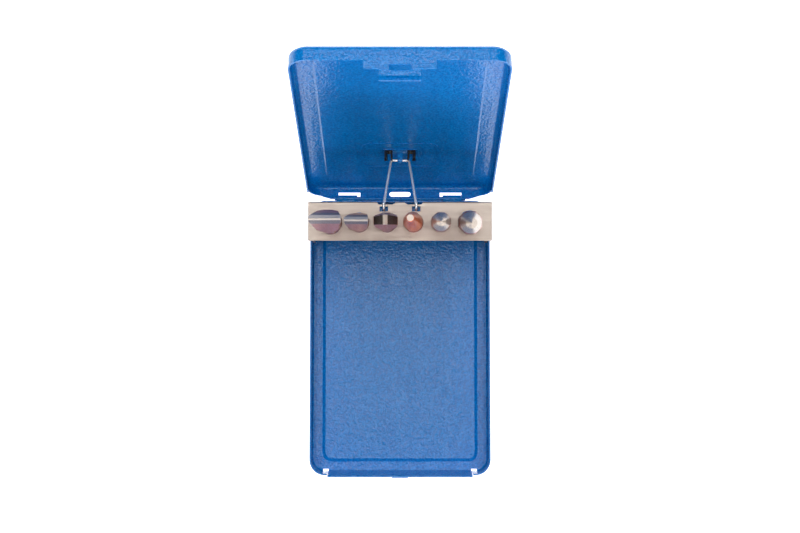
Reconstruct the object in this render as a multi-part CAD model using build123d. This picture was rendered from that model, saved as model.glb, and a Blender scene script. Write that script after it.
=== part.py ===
from build123d import *
from math import cos, radians, sin, sqrt, tan
import os

# A hinged sheet-steel case for chisels and punches, standing open.
# X runs across the case, +Y towards the hinge, +Z up, in millimetres.
# The origin is under the middle of the tray, on the surface that it stands on.
# Every piece is drawn where it sits with the case shut, or upright in its own
# place, and is then turned into the open position that the case rests in.

sheet = 0.8                  # painted steel sheet of the tray and the lid

# tray
tray_width = 105.6
tray_length = 160.6
tray_corner = 9.0
tray_rim = 17.4
tray_panel_inset = 6.6       # outer face of the wall to the foot of the raised panel
tray_panel_slope = 1.9
tray_panel_rise = 0.8
flap_half_width = 42.4
flap_lean = 6.5              # degrees that the front flap springs outwards
flap_gap = 0.3
relief_length = 3.2
catch_half_width = 4.8
catch_height = 12.4

# hinge between tray and lid
hinge_y = 81.6
hinge_z = 16.4
bead_radius = 1.2
bead_half_length = 38.5
curl_clearance = 0.06
tab_centre = 30.7
tab_width = 11.0
open_angle = 107.4

# lid, drawn shut
lid_width = 108.5
lid_front = -83.2            # outer face of the lid's front wall
lid_corner = 9.8
lid_depth = 8.9
lid_edge_radius = 3.4
lid_panel_inset = 10.9       # outer face of the wall to the foot of the panel pressed inwards
lid_panel_slope = 1.2
lid_panel_rise = 0.45
field_centre_u = 43.7        # label field, measured from the hinge along the lid
field_length = 30.6
field_width = 42.4
field_bead = 0.9
field_height = 0.3
hinge_slot_outer = 36.3
hinge_slot_inner = 23.4
hinge_slot_top = 4.1
hang_slot_width = 12.6
hang_slot_height = 3.3
tongue_width = 35.2
tongue_drop = 4.8
latch_width = 20.1
window_width = 10.9
window_top = 2.35
window_bottom = 5.55
latch_drop = 11.6
lid_floor = hinge_z + lid_depth - sheet - lid_panel_rise    # the panel's inner face
saddle_sheet = 0.5

# tool rack, drawn upright about its pivot
rack_pivot_y = 64.5
rack_pivot_z = 10.7
rack_lean = 3.0              # degrees that the raised rack leans to the front
rack_sheet = 1.0
rack_width = 102.4
rack_arm = 51.2              # pivot to the top face of the drilled plate
rack_rear = 13.05
rack_front = -8.5
rack_heel = 9.3              # the lower part is shorter, to clear the tray's rounded corners
rack_base_top = -7.3
foot_radius = 8.65           # how far the foot's front reaches from the pivot
heel_radius = 9.9            # how far its rear corners reach
base_half = 42.5
row_offset = 1.6             # the row of tools stands this far behind the pivot
flange_drop = 4.5
large_hole = 13.4
small_hole = 11.2
notch_inner = 2.7
notch_outer = 12.8
notch_depth = 1.5
hook_slot_inner = 6.6
hook_slot_outer = 11.4
hook_slot_rear = 10.55
hook_slot_front = 7.7
rivet_radius = 1.5
running_clearance = 0.05

# wire bail between lid and rack
wire_radius = 0.7
bail_u = 42.3                # bail axis along the lid, from the hinge
bail_v = 5.0                 # bail axis above the lid's free edge
bail_half_width = 5.0
hook_half_width = 9.0
leg_length = 26.4            # saddle to hooks
strap_y = 11.15              # middle of the strap that the hooks go over, in the rack
hook_dip = 1.0

# tools, left to right: lean is where the tip stands off the row's own axis
tool_lift = 0.4
tools = [
    {"node": "large_flat_chisel", "x": -38.8, "flats": 12.0, "length": 150.0, "lean": (1.75, -1.65)},
    {"node": "small_flat_chisel", "x": -22.65, "flats": 10.0, "length": 125.0, "lean": (0.2, -1.2)},
    {"node": "cape_chisel", "x": -7.45, "flats": 10.0, "length": 125.0, "lean": (-0.2, -1.1)},
    {"node": "drift_punch", "x": 7.45, "flats": 10.0, "length": 120.0, "lean": (-2.2, 0.0)},
    {"node": "small_centre_punch", "x": 22.65, "flats": 10.0, "length": 120.0, "lean": (-1.55, -1.9)},
    {"node": "large_centre_punch", "x": 38.8, "flats": 12.0, "length": 120.0, "lean": (-2.2, -2.6)},
]

hinge_axis = Axis((0, hinge_y, hinge_z), (1, 0, 0))


def block(x0, x1, y0, y1, z0, z1):
    """A box from its lowest and highest corners."""
    size = Box(x1 - x0, y1 - y0, z1 - z0, align=(Align.MIN, Align.MIN, Align.MIN))
    return Pos(x0, y0, z0) * size


def along_x(outline, x0, x1):
    """A closed outline of (y, z) points, extruded from x0 to x1."""
    face = make_face(Polyline([(x0, y, z) for y, z in outline], close=True))
    return extrude(face, amount=x1 - x0, dir=(1, 0, 0))


def rod_x(radius, y, z, x0, x1):
    """A round bar along X."""
    return Pos((x0 + x1) / 2, y, z) * Rot(0, 90, 0) * Cylinder(radius, x1 - x0)


def slab(width, y0, y1, corner, z0, z1):
    """A plate with rounded corners in plan."""
    outline = RectangleRounded(width, y1 - y0, corner)
    return extrude(Pos(0, (y0 + y1) / 2, z0) * outline, amount=z1 - z0)


def frustum(width, y0, y1, corner, slope, z_foot, z_top):
    """A raised panel whose sides slope in by the given amount from foot to top."""
    middle = (y0 + y1) / 2
    foot = Pos(0, middle, z_foot) * RectangleRounded(width, y1 - y0, corner)
    top = Pos(0, middle, z_top) * RectangleRounded(width - 2 * slope, y1 - y0 - 2 * slope, corner - slope)
    return loft([foot.face(), top.face()])


def edges_at(solid, height):
    """Edges that lie in the plane z = height."""
    return solid.edges().filter_by_position(Axis.Z, height - 1e-4, height + 1e-4)


def mirrored(solid):
    """The solid and its mirror image across the middle of the case."""
    return [solid, mirror(solid, about=Plane.YZ)]


# ---------------------------------------------------------------- tray

def make_tray():
    half_length = tray_length / 2
    outer = slab(tray_width, -half_length, half_length, tray_corner, 0, tray_rim)
    outer = fillet(edges_at(outer, 0), 1.6)
    inner = slab(tray_width - 2 * sheet, -half_length + sheet, half_length - sheet,
                 tray_corner - sheet, sheet, tray_rim + 1)
    inner = fillet(edges_at(inner, sheet), 0.9)
    panel_width = tray_width - 2 * tray_panel_inset
    panel_half = half_length - tray_panel_inset
    panel = frustum(panel_width, -panel_half, panel_half, 5.5, tray_panel_slope,
                    sheet, sheet + tray_panel_rise)
    hollow = frustum(panel_width, -panel_half, panel_half, 5.5, tray_panel_slope,
                     0, tray_panel_rise)
    tray = outer - inner + panel - hollow

    # the front wall is a flap of its own, cut free at both ends
    gap = block(-flap_half_width - flap_gap, flap_half_width + flap_gap,
                -half_length - 1, -half_length + 1.9, sheet, tray_rim + 1)
    tray -= gap
    foot = -half_length + 0.9
    shift = tray_rim * tan(radians(flap_lean))
    flap = along_x([(foot, 0), (foot + 1.4, 0), (foot + 1.4, sheet),
                    (foot + sheet - 0.1, sheet), (foot + sheet - shift, tray_rim),
                    (foot - shift, tray_rim)], -flap_half_width, flap_half_width)
    catch_y = foot - catch_height * tan(radians(flap_lean))
    catch_out = lid_front + sheet + 0.15
    catch = along_x([(catch_y + 0.4, catch_height + 1.7), (catch_out, catch_height + 0.5),
                     (catch_out, catch_height - 0.5), (catch_y + 0.4, catch_height - 1.7)],
                    -catch_half_width, catch_half_width)
    tray = tray + flap + catch
    for relief in mirrored(block(flap_half_width - 0.1, flap_half_width + relief_length,
                                 -half_length + 0.9, -half_length + 2.3, -1, 2.6)):
        tray -= relief

    # two tabs of the rear wall curl round the lid's hinge bead
    curl_in = bead_radius + curl_clearance
    curl_out = curl_in + sheet
    ring = rod_x(curl_out, hinge_y, hinge_z, tab_centre - tab_width / 2, tab_centre + tab_width / 2)
    bore = rod_x(curl_in, hinge_y, hinge_z, 0, tray_width)
    neck = block(tab_centre - tab_width / 2, tab_centre + tab_width / 2,
                 half_length - sheet, hinge_y - curl_in, hinge_z - 3.2, hinge_z)
    opened = along_x([(hinge_y, hinge_z), (hinge_y - 0.6, hinge_z - 6),
                      (hinge_y + 6, hinge_z - 6), (hinge_y + 6, hinge_z - 2.0)], 0, tray_width)
    tab = (ring - opened) + neck - bore
    for one in mirrored(tab):
        tray += one
    for one in mirrored(bore):
        tray -= one

    # holes for the rack's pivot rivets
    for one in mirrored(rod_x(rivet_radius, rack_pivot_y, rack_pivot_z, 50, 60)):
        tray -= one
    return tray


# ---------------------------------------------------------------- lid

def lid_y(u):
    """The shut lid's Y for a distance u from the hinge along the lid."""
    return hinge_y - u


def make_lid_shut():
    rear = hinge_y + sheet / 2
    top = hinge_z + lid_depth
    outer = slab(lid_width, lid_front, rear, lid_corner, hinge_z, top)
    outer = fillet(edges_at(outer, top), lid_edge_radius)
    inner = slab(lid_width - 2 * sheet, lid_front + sheet, rear - sheet, lid_corner - sheet,
                 hinge_z - 1, top - sheet)
    inner = fillet(edges_at(inner, top - sheet), lid_edge_radius - sheet)
    inset = lid_panel_inset
    panel = frustum(lid_width - 2 * inset, lid_front + inset, rear - inset, 8.0,
                    lid_panel_slope, top - sheet, lid_floor)
    hollow = frustum(lid_width - 2 * inset, lid_front + inset, rear - inset, 8.0,
                     lid_panel_slope, top, lid_floor + sheet)
    lid = outer - inner + panel - hollow

    # label field: a shallow bead pressed inwards round a rounded rectangle
    y0 = lid_y(field_centre_u) - field_length / 2
    y1 = lid_y(field_centre_u) + field_length / 2
    for depth in (lid_floor, lid_floor + sheet):
        ring = slab(field_width, y0, y1, 5.0, depth - field_height, depth)
        ring -= slab(field_width - 2 * field_bead, y0 + field_bead, y1 - field_bead, 4.1,
                     depth - field_height, depth)
        if depth == lid_floor:
            lid += ring
        else:
            lid -= ring

    # hinge bead along the rear edge, with the corners of the wall cut back beside it
    lid += rod_x(bead_radius, hinge_y, hinge_z, -bead_half_length, bead_half_length)
    cut = make_face(Polyline([(bead_half_length - 2, hinge_y - 9, hinge_z - 1.3),
                              (bead_half_length + 8.5, hinge_y - 9, hinge_z + 1.9),
                              (lid_width, hinge_y - 9, hinge_z + 1.9),
                              (lid_width, hinge_y - 9, hinge_z - 1.3)], close=True))
    for corner in mirrored(extrude(cut, amount=12, dir=(0, 1, 0))):
        lid -= corner
    slot_low = hinge_z + 0.2
    slot = block(hinge_slot_inner, hinge_slot_outer, hinge_y - 1.6, hinge_y + 1.6,
                 slot_low, hinge_z + hinge_slot_top)
    round_bead = rod_x(bead_radius, hinge_y, hinge_z, 0, lid_width)
    for one in mirrored(slot - round_bead):
        lid -= one
    middle = hinge_z + bead_radius + hang_slot_height / 2
    hang = extrude(Plane.XZ * SlotOverall(hang_slot_width, hang_slot_height), amount=4, both=True)
    lid -= Pos(0, hinge_y, middle) * hang

    # latch tongue in line with the front wall
    face = lid_front + sheet
    lid += block(-tongue_width / 2, tongue_width / 2, lid_front, face, hinge_z - tongue_drop, hinge_z)
    lid += block(-latch_width / 2, latch_width / 2, lid_front, face, hinge_z - 5.9, hinge_z)
    lip_top = hinge_z - 5.8
    lip_low = hinge_z - latch_drop
    out = lid_front - 1.4
    lip = along_x([(lid_front, lip_top), (face, lip_top), (face - 1.4, lip_top - 1.5),
                   (face - 1.4, lip_low + 2.7), (face - 0.1, lip_low + 1.3), (face - 0.9, lip_low),
                   (face - 1.7, lip_low + 0.1), (lid_front - 0.3, lip_low + 1.3),
                   (out, lip_low + 2.4), (out, lip_top - 1.2)], -latch_width / 2, latch_width / 2)
    lid += lip
    lid -= block(-window_width / 2, window_width / 2, lid_front - 1, face + 1,
                 hinge_z - window_bottom, hinge_z - window_top)
    return lid


def make_saddle_shut():
    """The welded loop that the bail turns in, seated on the lid's panel."""
    y = lid_y(bail_u)
    z = hinge_z + bail_v
    floor = lid_floor
    bore = wire_radius + running_clearance
    wall = bore + sheet
    half = 1.4
    loop = rod_x(wall, y, z, -half, half)
    strap = along_x([(y - 0.2, z + bore), (y - 0.6, z + wall), (y - 4.6, floor), (y - 6.2, floor),
                     (y - 6.2, floor - saddle_sheet), (y - 4.0, floor - saddle_sheet), (y - wall, z + 0.3),
                     (y - bore, z)], -half, half)
    base = block(-9.6, 9.6, y - 9.2, y - 4.8, floor - saddle_sheet, floor)
    return loop + strap + base - rod_x(bore, y, z, -5, 5)


def make_clip_shut():
    """A black clip beside the saddle, with a groove that the folded bail lies in."""
    y = lid_y(bail_u)
    tip = hinge_z + 2.3
    body = block(4.1, 8.7, y - 8.9, y - 5.1, tip, lid_floor - saddle_sheet)
    body = fillet(body.edges().filter_by(Axis.Z), 0.6)
    spread = (hook_half_width - bail_half_width) / leg_length
    near = bail_half_width + 4.5 * spread
    far = bail_half_width + 9.5 * spread
    groove_face = make_face(Polyline([(near - 1.1, y - 4.5, tip - 1), (near + 1.1, y - 4.5, tip - 1),
                                      (far + 1.1, y - 9.5, tip - 1), (far - 1.1, y - 9.5, tip - 1)],
                                     close=True))
    groove = extrude(groove_face, amount=hinge_z + bail_v + wire_radius + 0.85 - tip + 1, dir=(0, 0, 1))
    return body - groove


# ---------------------------------------------------------------- rack

def place_rack(shape):
    """Turn a shape drawn upright about the pivot into the raised rack's place."""
    return Pos(0, rack_pivot_y, rack_pivot_z) * Rot(rack_lean, 0, 0) * shape


def make_rack():
    half = rack_width / 2
    base_low = rack_base_top - rack_sheet
    plate = block(-half, half, rack_front, rack_rear, rack_arm - rack_sheet, rack_arm)
    rear_flange = block(-half, half, rack_rear - rack_sheet, rack_rear,
                        rack_arm - flange_drop, rack_arm)
    rack = plate + rear_flange
    top_edges = edges_at(rack, rack_arm).filter_by(Axis.X).sort_by(Axis.Y)
    rack = fillet(top_edges[-1], 0.7)
    # the foot keeps inside foot_radius, so that it swings clear of the tray's floor and corners
    front_low = -sqrt(foot_radius ** 2 - base_low ** 2)
    rear_low = sqrt(heel_radius ** 2 - base_low ** 2)
    toe = foot_radius * sin(radians(45))
    for sign in (-1, 1):
        inside = sign * (half - rack_sheet)
        outline = [(rack_front, rack_arm), (rack_rear, rack_arm), (rack_rear, rack_arm - 12),
                   (rack_heel, rack_arm - 24), (rack_heel, 0), (heel_radius - 1.4, -5.0),
                   (rear_low, base_low), (front_low, base_low), (-toe, -toe), (rack_front, -1.5),
                   (rack_front, 6), (rack_front + 3, 16), (rack_front + 3, rack_arm - 24),
                   (rack_front, rack_arm - 12)]
        low, high = sorted((inside, sign * half))
        rack += along_x(outline, low, high)
    slope = rack_sheet * 0.6
    rack += along_x([(rear_low, base_low), (front_low, base_low), (-toe, -toe),
                     (-toe + slope, -toe + slope), (front_low + 0.3, rack_base_top),
                     (rear_low, rack_base_top)], -half, half)
    rack += block(-base_half, base_half, rear_low, rack_heel, base_low, rack_base_top)

    for tool in tools:
        diameter = large_hole if tool["flats"] > 11 else small_hole
        rack -= Pos(tool["x"], row_offset, rack_arm) * Cylinder(diameter / 2, 4)
    notch_floor = rack_rear - notch_depth
    for sign in (-1, 1):
        outline = [(sign * notch_inner, rack_rear + 1), (sign * notch_inner, rack_rear - 0.6),
                   (sign * (notch_inner + 1.6), notch_floor), (sign * (notch_outer - 1.0), notch_floor),
                   (sign * notch_outer, rack_rear - 0.4), (sign * notch_outer, rack_rear + 1)]
        notch = make_face(Polyline([(x, y, rack_arm - 8) for x, y in outline], close=True))
        rack -= extrude(notch, amount=12, dir=(0, 0, 1))
        low, high = sorted((sign * hook_slot_inner, sign * hook_slot_outer))
        rack -= block(low, high, hook_slot_front, hook_slot_rear, rack_arm - 3, rack_arm + 3)
        bore = rod_x(rivet_radius + running_clearance, 0, 0, half - 3, half + 1)
        rack -= bore if sign > 0 else mirror(bore, about=Plane.YZ)
    return place_rack(rack)


def make_rivets():
    """Shoulder rivets that carry the rack between the tray's side walls."""
    wall = tray_width / 2
    arm = rack_width / 2
    pin = rod_x(rivet_radius, rack_pivot_y, rack_pivot_z, arm - rack_sheet - 1.0, wall + 0.9)
    inner_head = rod_x(2.7, rack_pivot_y, rack_pivot_z, arm - rack_sheet - 1.0, arm - rack_sheet - 0.1)
    shoulder = rod_x(2.4, rack_pivot_y, rack_pivot_z, arm + 0.1, wall - sheet)
    outer_head = rod_x(2.75, rack_pivot_y, rack_pivot_z, wall, wall + 0.9)
    outer_head = fillet(outer_head.edges().sort_by(Axis.X)[-1], 0.5)
    right = pin + inner_head + shoulder + outer_head
    return mirror(right, about=Plane.YZ), right


# ---------------------------------------------------------------- bail

def turned(y, z, degrees):
    """A (y, z) vector turned about X."""
    a = radians(degrees)
    return y * cos(a) - z * sin(a), y * sin(a) + z * cos(a)


def rack_point(y, z):
    """Where a point of the upright rack lies with the rack raised."""
    dy, dz = turned(y, z, rack_lean)
    return rack_pivot_y + dy, rack_pivot_z + dz


def make_bail():
    """One steel wire: through the saddle, down both legs, and over the rack's straps."""
    dy, dz = turned(-bail_u, bail_v, -open_angle)
    eye_y, eye_z = hinge_y + dy, hinge_z + dz
    over = rack_arm + wire_radius + 0.12
    rear_y, rear_z = rack_point(strap_y + 0.9, over - 0.1)
    front_y, front_z = rack_point(hook_slot_front + 0.3 + wire_radius, over)
    end_y, end_z = rack_point(hook_slot_front + 0.25 + wire_radius, rack_arm - hook_dip)
    half = [(0, eye_y, eye_z), (bail_half_width, eye_y, eye_z),
            (hook_half_width, rear_y, rear_z), (hook_half_width, front_y, front_z),
            (hook_half_width, end_y, end_z)]
    left = [(-x, y, z) for x, y, z in half[1:]]
    route = [tuple(p) for p in reversed(left)] + half[1:]
    path = FilletPolyline(*route, radius=[0.75, 1.2, 1.3, 1.3, 1.2, 0.75])
    start = path @ 0
    section = Plane(origin=start, z_dir=path % 0) * Circle(wire_radius)
    return sweep(section, path=path)


# ---------------------------------------------------------------- tools

def silhouette(profile, angle):
    """A plate-like solid whose outline is given by (height, half-width) pairs."""
    right = [(w, z) for z, w in profile]
    left = [(-w, z) for z, w in reversed(profile)]
    face = make_face(Polyline([(x, 0, z) for x, z in right + left], close=True))
    return Rot(0, 0, angle) * extrude(face, amount=20, dir=(0, 1, 0), both=True)


def octagonal(profile_x, profile_y, profile_diagonal):
    """The part common to four silhouettes, 45 degrees apart."""
    body = silhouette(profile_x, 0) & silhouette(profile_y, 90)
    body = body & silhouette(profile_diagonal, 45)
    return body & silhouette(profile_diagonal, 135)


def head(half):
    """The struck end: a short chamfer and a taper up to the full shank."""
    return [(0, half * 0.66), (0.9, half * 0.76), (9.0, half)]


def flat_chisel(half, length, blade):
    side = head(half) + [(length - 56, half), (length - 7.5, 1.7), (length, 0.12)]
    front = head(half) + [(length - 52, half), (length - 40, half * 0.98), (length - 5, blade / 2),
                          (length, blade / 2)]
    corner = head(half) + [(length - 54, half), (length - 34, half * 1.5), (length, half * 2.2)]
    return octagonal(front, side, corner)


def cape_chisel(half, length, web, edge):
    front = head(half) + [(length - 44, half), (length - 27, web / 2), (length - 5, 2.0),
                          (length, 0.12)]
    side = head(half) + [(length - 48, half), (length - 28, edge * 0.42), (length - 3, edge / 2),
                         (length, edge / 2)]
    corner = head(half) + [(length - 44, half), (length - 30, half * 1.5), (length, half * 2)]
    return octagonal(front, side, corner)


def punch(half, length, cone):
    """An octagonal shank run out into a turned point of (height, radius) pairs."""
    shank = head(half) + [(length + 1, half)]
    body = octagonal(shank, shank, shank)
    outline = [(0, -1), (half * 1.3, -1)] + [(r, z) for z, r in cone]
    if cone[-1][1] > 0:
        outline.append((0, cone[-1][0]))
    profile = make_face(Polyline([(r, 0, z) for r, z in outline], close=True))
    return body & revolve(profile, Axis.Z)


def make_tool(tool):
    half = tool["flats"] / 2
    length = tool["length"]
    node = tool["node"]
    if node == "large_flat_chisel":
        return flat_chisel(half, length, 16.0)
    if node == "small_flat_chisel":
        return flat_chisel(half, length, 12.2)
    if node == "cape_chisel":
        return cape_chisel(half, length, 12.8, 5.0)
    full = half / cos(radians(22.5))
    if node == "drift_punch":
        return punch(half, length, [(length - 50, full), (length - 0.4, 2.1), (length, 1.8)])
    point = 0.5 * half
    taper = length - 1.75 * point
    return punch(half, length, [(taper - 4.4 * half, full), (taper, point), (length, 0)])


def place_tool(tool, shape):
    """Stand a tool in its hole, leaning as far as its loose fit lets it."""
    drop = rack_arm - rack_base_top - tool_lift
    above = tool["length"] - drop
    lean_x = tool["lean"][0] / above
    lean_y = tool["lean"][1] / above
    direction = Vector(lean_x, lean_y, 1).normalized()
    across = Vector(1, 0, -lean_x).normalized()
    through = Vector(tool["x"], row_offset, rack_arm - rack_sheet / 2)
    butt = through - direction * (drop - rack_sheet / 2)
    return place_rack(Plane(origin=butt, x_dir=across, z_dir=direction).location * shape)


# ---------------------------------------------------------------- build

left_rivet, right_rivet = make_rivets()
clip = make_clip_shut()
parts = {
    "tray": make_tray(),
    "left_pivot_rivet": left_rivet,
    "right_pivot_rivet": right_rivet,
    "lid": make_lid_shut().rotate(hinge_axis, -open_angle),
    "bail_saddle": make_saddle_shut().rotate(hinge_axis, -open_angle),
    "left_bail_clip": mirror(clip, about=Plane.YZ).rotate(hinge_axis, -open_angle),
    "right_bail_clip": clip.rotate(hinge_axis, -open_angle),
    "wire_bail": make_bail(),
    "tool_rack": make_rack(),
}
for tool in tools:
    parts[tool["node"]] = place_tool(tool, make_tool(tool))

os.makedirs("parts", exist_ok=True)
for node, shape in parts.items():
    export_step(shape, f"parts/{node}.step")
    print(f"{node}: {len(shape.solids())} solid, {shape.volume:.1f} mm3")
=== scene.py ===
import math
import bmesh
import bpy
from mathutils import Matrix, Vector


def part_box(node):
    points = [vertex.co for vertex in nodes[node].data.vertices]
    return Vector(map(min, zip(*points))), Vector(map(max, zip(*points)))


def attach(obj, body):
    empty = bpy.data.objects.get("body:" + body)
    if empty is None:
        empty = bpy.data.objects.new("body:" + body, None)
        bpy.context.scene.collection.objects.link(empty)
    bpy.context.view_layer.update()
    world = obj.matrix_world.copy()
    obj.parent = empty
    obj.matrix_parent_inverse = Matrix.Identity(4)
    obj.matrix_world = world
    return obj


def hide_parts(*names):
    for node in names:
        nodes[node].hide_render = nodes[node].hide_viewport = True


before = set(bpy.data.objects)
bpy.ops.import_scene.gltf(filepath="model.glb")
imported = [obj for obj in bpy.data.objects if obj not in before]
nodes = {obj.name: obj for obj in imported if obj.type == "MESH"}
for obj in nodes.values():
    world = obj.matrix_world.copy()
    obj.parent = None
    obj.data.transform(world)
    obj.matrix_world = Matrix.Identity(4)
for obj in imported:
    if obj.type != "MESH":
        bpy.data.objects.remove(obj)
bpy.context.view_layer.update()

mm = 0.001
print("frame loaded:", len(nodes), "nodes")


# small helpers

meshing = {
    "weld": 0.002,               # mm, points closer than this become one
    "flat": 0.5,                 # degrees, faces closer than this to one plane are joined
    "cut": 0.001,                # mm, points closer than this to a cut lie on it
    "smooth": 32,                # degrees, sharper edges stay sharp in the shading
    "edgeSegments": 2,
    "rimSegments": 4,
    "normalWeight": 80,
}


def paint(piece, material):
    piece.data.materials.clear()
    piece.data.materials.append(material)


def finishMesh(bm, name, body, material, stands, smooth=meshing["smooth"]):
    bmesh.ops.recalc_face_normals(bm, faces=bm.faces)
    mesh = bpy.data.meshes.new(name)
    bm.to_mesh(mesh)
    bm.free()
    piece = bpy.data.objects.new(name, mesh)
    bpy.context.scene.collection.objects.link(piece)
    mesh.shade_smooth()
    mesh.set_sharp_from_angle(angle=math.radians(smooth))
    paint(piece, material)
    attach(piece, body)
    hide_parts(*stands)
    return piece


def mergedCopy(node):
    # a CAD node comes as loose triangles, so the copy is welded and its flat faces joined
    bm = bmesh.new()
    bm.from_mesh(nodes[node].data)
    bmesh.ops.remove_doubles(bm, verts=bm.verts, dist=meshing["weld"] * mm)
    bmesh.ops.dissolve_limit(bm, angle_limit=math.radians(meshing["flat"]), verts=bm.verts,
                             edges=bm.edges, delimit={"NORMAL"})
    return bm


def sharpEdges(bm, angle):
    limit = math.radians(angle)
    return [e for e in bm.edges if len(e.link_faces) == 2 and e.calc_face_angle(0) > limit]


def roundEdges(bm, edges, width, segments):
    bmesh.ops.bevel(bm, geom=edges, offset=width * mm, offset_type="OFFSET", segments=segments,
                    profile=0.5, affect="EDGES", clamp_overlap=True, material=-1)


def rollRims(bm, low, high, width):
    # the rim of a pressed panel is rolled over a wide radius, the rest of its edges are tight
    least, most = math.radians(low), math.radians(high)
    rims = [e for e in bm.edges if len(e.link_faces) == 2 and e.is_convex
            and least < e.calc_face_angle(0) < most]
    roundEdges(bm, rims, width, meshing["rimSegments"])


def softCopy(node, body, material, width, angle, rims=None, cuts=()):
    bm = mergedCopy(node)
    for point, normal in cuts:
        bmesh.ops.bisect_plane(bm, geom=bm.verts[:] + bm.edges[:] + bm.faces[:], plane_co=point,
                               plane_no=normal, dist=meshing["cut"] * mm)
    if rims:
        rollRims(bm, **rims)
    roundEdges(bm, sharpEdges(bm, angle), width, meshing["edgeSegments"])
    piece = finishMesh(bm, node + "_finished", body, material, stands=[node])
    # flat faces keep their own normals beside the rounded edges
    weighted = piece.modifiers.new("weighted", "WEIGHTED_NORMAL")
    weighted.mode = "FACE_AREA"
    weighted.weight = meshing["normalWeight"]
    weighted.keep_sharp = True
    return piece


# shader building

def addNode(tree, kind, **values):
    node = tree.nodes.new(kind)
    for key, value in values.items():
        setattr(node, key, value)
    return node


def link(tree, source, target):
    tree.links.new(source, target)


def newGroup(name, inputs, outputs):
    group = bpy.data.node_groups.new(name, "ShaderNodeTree")
    for label, kind, value in inputs:
        socket = group.interface.new_socket(name=label, in_out="INPUT", socket_type=kind)
        if value is not None:
            socket.default_value = value
    for label, kind in outputs:
        group.interface.new_socket(name=label, in_out="OUTPUT", socket_type=kind)
    return group, group.nodes.new("NodeGroupInput"), group.nodes.new("NodeGroupOutput")


def feed(tree, socket, value):
    # a socket takes either a plain value or what another node puts out
    if isinstance(value, (int, float, tuple)):
        socket.default_value = value
    else:
        link(tree, value, socket)


def mathNode(tree, operation, *values):
    node = addNode(tree, "ShaderNodeMath", operation=operation)
    for index, value in enumerate(values):
        feed(tree, node.inputs[index], value)
    return node.outputs[0]


def ramp(tree, factor, low, high, outLow=0.0, outHigh=1.0):
    node = addNode(tree, "ShaderNodeMapRange", interpolation_type="SMOOTHSTEP")
    link(tree, factor, node.inputs["Value"])
    node.inputs["From Min"].default_value = low
    node.inputs["From Max"].default_value = high
    node.inputs["To Min"].default_value = outLow
    node.inputs["To Max"].default_value = outHigh
    return node.outputs["Result"]


def mixColour(tree, factor, first, second):
    # the Mix node's colour sockets are 6 and 7 going in and 2 coming out
    node = addNode(tree, "ShaderNodeMix", data_type="RGBA")
    for index, value in ((0, factor), (6, first), (7, second)):
        feed(tree, node.inputs[index], value)
    return node.outputs[2]


def noise(tree, vector, scale, detail, roughness=0.5, distortion=0.0):
    node = addNode(tree, "ShaderNodeTexNoise", noise_dimensions="3D")
    link(tree, vector, node.inputs["Vector"])
    link(tree, scale, node.inputs["Scale"])
    node.inputs["Detail"].default_value = detail
    node.inputs["Roughness"].default_value = roughness
    node.inputs["Distortion"].default_value = distortion
    return node.outputs["Fac"]


hammered = {
    "dimple": (1.2, 0.45, 0.35),  # detail, roughness and distortion of the noise
    "wideScale": 0.33,            # a share of the dimples' scale, as fleckScale is
    "wideDetail": 2.0,
    "wideShare": 0.7,
    "mottle": (0.36, 0.64),
    "fleckScale": 1.2,
    "fleckDetail": 1.0,
    "fleck": (0.5, 0.72),
}


def hammerGroup():
    # orange-peel dimples of hammered enamel, a mottle that follows them, and paler flecks
    group, entry, leave = newGroup(
        "hammerFinish",
        [("Vector", "NodeSocketVector", None), ("Dimples", "NodeSocketFloat", 650.0)],
        [("Height", "NodeSocketFloat"), ("Mottle", "NodeSocketFloat"), ("Fleck", "NodeSocketFloat")])
    vector, scale = entry.outputs["Vector"], entry.outputs["Dimples"]
    dimple = noise(group, vector, scale, *hammered["dimple"])
    wideScale = mathNode(group, "MULTIPLY", scale, hammered["wideScale"])
    wide = noise(group, vector, wideScale, hammered["wideDetail"])
    height = mathNode(group, "MULTIPLY_ADD", wide, hammered["wideShare"], dimple)
    fleckScale = mathNode(group, "MULTIPLY", scale, hammered["fleckScale"])
    fleck = noise(group, vector, fleckScale, hammered["fleckDetail"])
    link(group, height, leave.inputs["Height"])
    link(group, ramp(group, dimple, *hammered["mottle"]), leave.inputs["Mottle"])
    link(group, ramp(group, fleck, *hammered["fleck"]), leave.inputs["Fleck"])
    return group


marks = {
    "lines": (4.0, 0.62),        # detail and roughness of the noise
    "cloudScale": 0.12,          # as a share of the lines' scale
    "cloudDetail": 3.0,
    "span": (0.3, 0.7),          # the part of the lines' range that changes the gloss
}


def grainGroup():
    # rolling or grinding marks, which a Mapping in front draws out along one axis, and a slow cloud
    group, entry, leave = newGroup(
        "metalGrain",
        [("Vector", "NodeSocketVector", None), ("Scale", "NodeSocketFloat", 300.0)],
        [("Lines", "NodeSocketFloat"), ("Cloud", "NodeSocketFloat")])
    vector, scale = entry.outputs["Vector"], entry.outputs["Scale"]
    cloudScale = mathNode(group, "MULTIPLY", scale, marks["cloudScale"])
    link(group, noise(group, vector, scale, *marks["lines"]), leave.inputs["Lines"])
    link(group, noise(group, vector, cloudScale, marks["cloudDetail"]), leave.inputs["Cloud"])
    return group


groups = {"hammer": hammerGroup(), "grain": grainGroup()}


def startMaterial(name):
    material = bpy.data.materials.new(name)
    material.use_nodes = True
    tree = material.node_tree
    shader = next(n for n in tree.nodes if n.type == "BSDF_PRINCIPLED")
    where = addNode(tree, "ShaderNodeTexCoord").outputs["Object"]
    return material, tree, shader, where


def placeGroup(tree, key, vector, **values):
    node = addNode(tree, "ShaderNodeGroup", node_tree=groups[key])
    link(tree, vector, node.inputs["Vector"])
    for label, value in values.items():
        node.inputs[label].default_value = value
    return node


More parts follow.
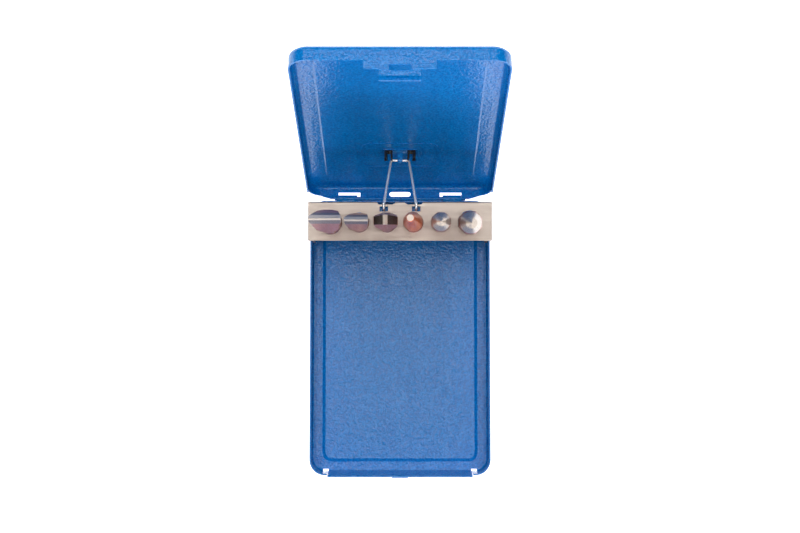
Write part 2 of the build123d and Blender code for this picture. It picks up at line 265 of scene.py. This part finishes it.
def drawnOut(tree, vector, scale):
    node = addNode(tree, "ShaderNodeMapping", vector_type="POINT")
    link(tree, vector, node.inputs["Vector"])
    node.inputs["Scale"].default_value = scale
    return node.outputs["Vector"]


def bumpInto(tree, shader, height, strength, distance):
    node = addNode(tree, "ShaderNodeBump")
    node.inputs["Strength"].default_value = strength
    node.inputs["Distance"].default_value = distance
    link(tree, height, node.inputs["Height"])
    link(tree, node.outputs["Normal"], shader.inputs["Normal"])


def grainInto(tree, shader, grain, roughness, bump, distance):
    # the marks change the gloss and stand up a little
    lines = grain.outputs["Lines"]
    link(tree, ramp(tree, lines, *marks["span"], *roughness), shader.inputs["Roughness"])
    bumpInto(tree, shader, lines, bump, distance)


# materials

enamel = {
    "deep": (0.0, 0.165, 0.56, 1.0),
    "light": (0.002, 0.235, 0.70, 1.0),
    "fleck": (0.02, 0.36, 0.88, 1.0),
    "fleckShare": 0.35,
    "dimples": 820.0,
    "bump": 1.0,
    "bumpDistance": 0.00022,
    "roughness": (0.05, 0.1),
    "specular": 0.5,
}


def blueEnamel():
    material, tree, shader, where = startMaterial("blueHammeredEnamel")
    hammer = placeGroup(tree, "hammer", where, Dimples=enamel["dimples"])
    colour = mixColour(tree, hammer.outputs["Mottle"], enamel["deep"], enamel["light"])
    fleck = mathNode(tree, "MULTIPLY", hammer.outputs["Fleck"], enamel["fleckShare"])
    colour = mixColour(tree, fleck, colour, enamel["fleck"])
    link(tree, colour, shader.inputs["Base Color"])
    link(tree, ramp(tree, hammer.outputs["Mottle"], 0.0, 1.0, *enamel["roughness"]),
         shader.inputs["Roughness"])
    shader.inputs["Specular IOR Level"].default_value = enamel["specular"]
    bumpInto(tree, shader, hammer.outputs["Height"], enamel["bump"], enamel["bumpDistance"])
    return material


rackSheet = {
    "light": (0.51, 0.435, 0.38, 1.0),
    "dark": (0.38, 0.325, 0.28, 1.0),
    "roughness": (0.34, 0.5),
    "metallic": 0.85,
    "draw": (0.06, 1, 1),        # rolled across the case
    "grain": 900.0,
    "bump": 0.15,
    "bumpDistance": 0.00004,
}


def rackSteel():
    material, tree, shader, where = startMaterial("platedRackSheet")
    grain = placeGroup(tree, "grain", drawnOut(tree, where, rackSheet["draw"]), Scale=rackSheet["grain"])
    colour = mixColour(tree, grain.outputs["Cloud"], rackSheet["dark"], rackSheet["light"])
    link(tree, colour, shader.inputs["Base Color"])
    shader.inputs["Metallic"].default_value = rackSheet["metallic"]
    grainInto(tree, shader, grain, rackSheet["roughness"], rackSheet["bump"], rackSheet["bumpDistance"])
    return material


steels = {
    # "draw" is small along the way that the wheel or the lathe ran
    "wire": {"name": "brightSpringWire", "light": (0.90, 0.90, 0.89, 1), "dark": (0.86, 0.86, 0.85, 1),
             "roughness": (0.22, 0.26), "draw": (1, 1, 1), "bump": 0.0, "metallic": 0.7},
    "rivet": {"name": "platedRivet", "light": (0.72, 0.70, 0.66, 1), "dark": (0.50, 0.49, 0.46, 1),
              "roughness": (0.25, 0.42), "draw": (1, 1, 1)},
    "blade": {"name": "groundBladeSteel", "light": (0.19, 0.155, 0.16, 1), "dark": (0.125, 0.10, 0.105, 1),
              "roughness": (0.42, 0.56), "draw": (1, 1, 0.05), "metallic": 0.7},
    "edge": {"name": "whettedEdge", "light": (0.70, 0.59, 0.50, 1), "dark": (0.55, 0.46, 0.38, 1),
             "roughness": (0.4, 0.5), "draw": (0.05, 1, 1), "metallic": 0.4},
    "turned": {"name": "turnedPoint", "light": (0.60, 0.51, 0.44, 1), "dark": (0.40, 0.335, 0.285, 1),
               "roughness": (0.26, 0.38), "draw": (0.1, 0.1, 1), "grain": 2600.0, "bump": 0.3,
               "metallic": 0.6},
    "forged": {"name": "forgedBrownSteel", "light": (0.045, 0.026, 0.017, 1),
               "dark": (0.02, 0.011, 0.008, 1), "roughness": (0.5, 0.65), "draw": (1, 1, 0.3),
               "metallic": 0.1, "specular": 0.15},
    # painted shade: dark brown for the walls of the rack's holes, where the gap round each tool lies in
    # shade
    "holeShade": {"name": "paintedHoleShade", "light": (0.06, 0.03, 0.022, 1), "dark": (0.025, 0.013, 0.01, 1),
              "roughness": (0.5, 0.65), "draw": (1, 1, 1), "metallic": 0.1, "specular": 0.15},
}
steelBumpDistance = 0.00003


def groundSteel(name, light, dark, roughness, draw, grain=1500.0, bump=0.12, metallic=1.0, specular=0.5):
    material, tree, shader, where = startMaterial(name)
    grained = placeGroup(tree, "grain", drawnOut(tree, where, draw), Scale=grain)
    link(tree, mixColour(tree, grained.outputs["Lines"], dark, light), shader.inputs["Base Color"])
    shader.inputs["Metallic"].default_value = metallic
    shader.inputs["Specular IOR Level"].default_value = specular
    grainInto(tree, shader, grained, roughness, bump, steelBumpDistance)
    return material


lacquers = {
    "pinkShank": {"name": "pinkLacquer", "light": (0.47, 0.18, 0.13, 1), "dark": (0.33, 0.115, 0.08, 1),
                  "coat": 0.1},
    "copperShank": {"name": "copperLacquer", "light": (0.78, 0.18, 0.045, 1), "dark": (0.48, 0.075, 0.02, 1),
                    "coat": 0.15},
}
lacquered = {
    "draw": (1, 1, 0.08),        # ground along the shank
    "grain": 1100.0,
    "tint": (0.35, 0.65),
    "metallic": 0.55,
    "roughness": (0.3, 0.42),
    "coatRoughness": 0.12,
    "bump": 0.08,
    "bumpDistance": 0.00002,
}


def shankLacquer(name, light, dark, coat):
    # tinted clear lacquer over a forged and ground shank, darker in places
    material, tree, shader, where = startMaterial(name)
    grain = placeGroup(tree, "grain", drawnOut(tree, where, lacquered["draw"]), Scale=lacquered["grain"])
    tint = ramp(tree, grain.outputs["Cloud"], *lacquered["tint"])
    link(tree, mixColour(tree, tint, dark, light), shader.inputs["Base Color"])
    shader.inputs["Metallic"].default_value = lacquered["metallic"]
    shader.inputs["Coat Weight"].default_value = coat
    shader.inputs["Coat Roughness"].default_value = lacquered["coatRoughness"]
    grainInto(tree, shader, grain, lacquered["roughness"], lacquered["bump"], lacquered["bumpDistance"])
    return material


clipPlastic = {
    "light": (0.011, 0.011, 0.012, 1),
    "dark": (0.004, 0.004, 0.005, 1),
    "roughness": (0.28, 0.42),
    "grain": 2600.0,
    "bump": 0.2,
    "bumpDistance": 0.00003,
}


def blackPlastic():
    material, tree, shader, where = startMaterial("blackMouldedPlastic")
    grain = placeGroup(tree, "grain", where, Scale=clipPlastic["grain"])
    colour = mixColour(tree, grain.outputs["Cloud"], clipPlastic["dark"], clipPlastic["light"])
    link(tree, colour, shader.inputs["Base Color"])
    grainInto(tree, shader, grain, clipPlastic["roughness"], clipPlastic["bump"],
              clipPlastic["bumpDistance"])
    return material


materials = {"enamel": blueEnamel(), "rack": rackSteel(), "plastic": blackPlastic()}
for key, steel in steels.items():
    materials[key] = groundSteel(**steel)
for key, lacquer in lacquers.items():
    materials[key] = shankLacquer(**lacquer)
print("materials made")


# tray, lid, rack and the small parts, with their edges softened

softened = {
    # node: body, material, slot, how wide an edge is rounded in mm, least angle of such an edge
    "tray": ("tray", "enamel", "blue_paint", 0.22, 14),
    "lid": ("lid", "enamel", "blue_paint", 0.22, 26),
    "bail_saddle": ("lid", "enamel", "blue_paint", 0.12, 25),
    "tool_rack": ("rack", "rack", "rack_steel", 0.35, 25),
    "left_pivot_rivet": ("tray", "rivet", "plated_steel", 0.15, 25),
    "right_pivot_rivet": ("tray", "rivet", "plated_steel", 0.15, 25),
    "left_bail_clip": ("lid", "plastic", "black_plastic", 0.25, 25),
    "right_bail_clip": ("lid", "plastic", "black_plastic", 0.25, 25),
}
lidRims = {"low": 17, "high": 24, "width": 1.1}  # degrees between which a rim's edges lie, and mm

# painted shade in the gap round each tool: which faces of the rack's holes take the dark brown
shadedHole = {
    "foot": 1.0,                 # mm of a tool's foot that gives the middle of its hole
    "reach": 9.0,                # mm from that middle
    "above": 50.0,               # mm above the table, so only the top plate takes it
    "upright": 0.95,             # faces that look up or down more than this stay bare
}


def shankAxis(node):
    points = [v.co for v in nodes[node].data.vertices]
    foot = min(p.z for p in points) + shadedHole["foot"] * mm
    low = [p for p in points if p.z < foot]
    return sum(p.x for p in low) / len(low), sum(p.y for p in low) / len(low)


def paintHoleShade(rack):
    # painted shade: the walls and rims of the punched holes take a dark brown where the gap round each tool
    # lies in shade
    rack.data.materials.append(materials["holeShade"])
    axes = [shankAxis(node) for node in toolFinish]
    for face in rack.data.polygons:
        x, y, z = face.center
        near = min(math.hypot(x - ax, y - ay) for ax, ay in axes)
        onWall = z > shadedHole["above"] * mm and abs(face.normal.z) < shadedHole["upright"]
        if onWall and near < shadedHole["reach"] * mm:
            face.material_index = 1


def makeSoftenedParts():
    for node, (body, material, slot, width, angle) in softened.items():
        rims = lidRims if node == "lid" else None
        piece = softCopy(node, body, materials[material], width, angle, rims=rims)
        if node == "tool_rack":
            paintHoleShade(piece)
        print("softened", node)


# the bent wire is round already, so it is only shaded smooth

bail = {"smooth": 45}            # degrees, sharper edges stay sharp


def makeBail():
    bm = mergedCopy("wire_bail")
    finishMesh(bm, "wire_bail_finished", "bail", materials["wire"],
               stands=["wire_bail"], smooth=bail["smooth"])


# tools: ground faces, lacquered shanks and turned points each get their own finish

toolFinish = {
    # all in mm below the tip, where the faces are cut: "ground" is how far the grinding reaches at the
    # rear, "front" the same in front, "edge" and "rearEdge" how far a flat chisel's whetted strip
    # reaches in front and at the rear
    "large_flat_chisel": {"kind": "flat", "ground": 30.0, "front": 14.0, "edge": 3.2, "rearEdge": 10.0},
    "small_flat_chisel": {"kind": "flat", "ground": 26.0, "front": 12.5, "edge": 3.2, "rearEdge": 8.0},
    "cape_chisel": {"kind": "cape", "ground": 26.0, "front": 14.0, "edge": 9.0, "rearEdge": 9.0},
    "drift_punch": {"kind": "drift", "ground": 5.0, "front": 5.0, "edge": 1.0, "rearEdge": 1.0},
    "small_centre_punch": {"kind": "point", "ground": 22.0, "front": 22.0, "edge": 2.0, "rearEdge": 2.0},
    "large_centre_punch": {"kind": "point", "ground": 26.0, "front": 26.0, "edge": 2.0, "rearEdge": 2.0},
}
finishOrder = ("shank", "blade", "edge", "turned", "forged")
toolEdges = {
    "width": 0.12,               # mm
    "angle": 12,                 # degrees
    "flatTop": 0.9,              # a drift's end face has a normal with more z than this
    "front": -0.2,               # a face in front has a normal with less y than this
    "side": 0.35,                # and less x than this to either side
    "capeHalf": 1.2,             # mm, half the width of a cape chisel's whetted strip
}


def faceFinish(face, below, aside, finish):
    # which of the finishes in finishOrder a face of a tool takes
    kind = finish["kind"]
    if kind == "drift":
        onTop = face.normal.z > toolEdges["flatTop"] and below < finish["ground"]
        return "turned" if onTop else "shank"
    if kind == "point":
        return "turned" if below < finish["ground"] else "shank"
    inFront = face.normal.y < toolEdges["front"] and abs(face.normal.x) < toolEdges["side"]
    if below > finish["front" if inFront else "ground"]:
        return "shank"
    if kind == "cape":
        return "edge" if aside < toolEdges["capeHalf"] else "forged"
    return "edge" if below < finish["edge" if inFront else "rearEdge"] else "blade"


def makeTool(node, finish):
    copper = finish["kind"] == "drift"
    low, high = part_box(node)
    tip, middle = high.z, (low.x + high.x) / 2
    cuts = [((0, 0, tip - finish[key] * mm), (0, 0, 1)) for key in ("edge", "rearEdge", "front", "ground")]
    if finish["kind"] == "cape":
        cuts += [((middle + side * toolEdges["capeHalf"] * mm, 0, 0), (1, 0, 0)) for side in (-1, 1)]
    piece = softCopy(node, node, materials["copperShank" if copper else "pinkShank"],
                     toolEdges["width"],
                     toolEdges["angle"], cuts=cuts)
    for key in finishOrder[1:]:
        piece.data.materials.append(materials[key])
    for face in piece.data.polygons:
        below = (tip - face.center.z) / mm
        aside = abs(face.center.x - middle) / mm
        face.material_index = finishOrder.index(faceFinish(face, below, aside, finish))


makeSoftenedParts()
makeBail()
for node, finish in toolFinish.items():
    makeTool(node, finish)
print("tools made")


# studio

studio = {
    "cameraAt": (0.0, -0.0053, 0.8106),
    "cameraTilt": 3.378,         # degrees from straight down
    "lens": 60.85,
    "sensor": 36.0,
    "clip": (0.01, 20.0),       # nearest and farthest that the camera sees
    "floor": 6.0,
    "floorColour": (0.9, 0.9, 0.9, 1),
    "floorRoughness": 0.8,
    "glow": 1.25,                # the floor is a lit table
    "worldStrength": 0.02,
    "lights": [
        # name, place, size, power, aim
        ("frontLight", (0.0, -1.3, 0.14), (1.2, 0.3), 9.5, (0.0, 0.02, 0.1)),
    ],
    # narrow tubes overhead, towards the hinge, so that every dimple shines or stays dark
    "tubes": (-0.6, -0.4, -0.2, 0.0, 0.2, 0.4, 0.6),
    "tubeSize": (0.08, 1.6),
    "tubesAt": (0.5, 1.1),       # y and height
    "tubePower": 2.25,
}


def makeCamera(scene):
    camera = bpy.data.objects.new("camera", bpy.data.cameras.new("camera"))
    scene.collection.objects.link(camera)
    camera.location = studio["cameraAt"]
    camera.rotation_euler = (math.radians(studio["cameraTilt"]), 0, 0)
    camera.data.lens = studio["lens"]
    camera.data.sensor_width = studio["sensor"]
    camera.data.clip_start, camera.data.clip_end = studio["clip"]
    scene.camera = camera


def makeFloor(scene):
    bm = bmesh.new()
    bmesh.ops.create_grid(bm, x_segments=1, y_segments=1, size=studio["floor"])
    mesh = bpy.data.meshes.new("floor")
    bm.to_mesh(mesh)
    bm.free()
    floor = bpy.data.objects.new("floor", mesh)
    scene.collection.objects.link(floor)
    material = bpy.data.materials.new("paleFloor")
    material.use_nodes = True
    shader = material.node_tree.nodes["Principled BSDF"]
    shader.inputs["Base Color"].default_value = studio["floorColour"]
    shader.inputs["Roughness"].default_value = studio["floorRoughness"]
    shader.inputs["Emission Color"].default_value = (1, 1, 1, 1)
    shader.inputs["Emission Strength"].default_value = studio["glow"]
    paint(floor, material)


def makeLight(scene, name, at, size, power, target):
    light = bpy.data.lights.new(name, "AREA")
    light.shape = "RECTANGLE"
    light.size, light.size_y = size
    light.energy = power
    lamp = bpy.data.objects.new(name, light)
    scene.collection.objects.link(lamp)
    lamp.location = at
    aim = Vector(target) - Vector(at)
    lamp.rotation_euler = aim.to_track_quat("-Z", "Y").to_euler()


def makeStudio():
    scene = bpy.context.scene
    makeCamera(scene)
    makeFloor(scene)

    world = bpy.data.worlds.new("studio")
    scene.world = world
    world.use_nodes = True
    background = world.node_tree.nodes["Background"]
    background.inputs["Color"].default_value = (1, 1, 1, 1)
    background.inputs["Strength"].default_value = studio["worldStrength"]

    for light in studio["lights"]:
        makeLight(scene, *light)
    y, z = studio["tubesAt"]
    for index, x in enumerate(studio["tubes"]):
        makeLight(scene, "tube" + str(index + 1), (x, y, z), studio["tubeSize"], studio["tubePower"],
                  (x, y, 0))
    scene.view_settings.view_transform = "Standard"


makeStudio()
print("studio made")
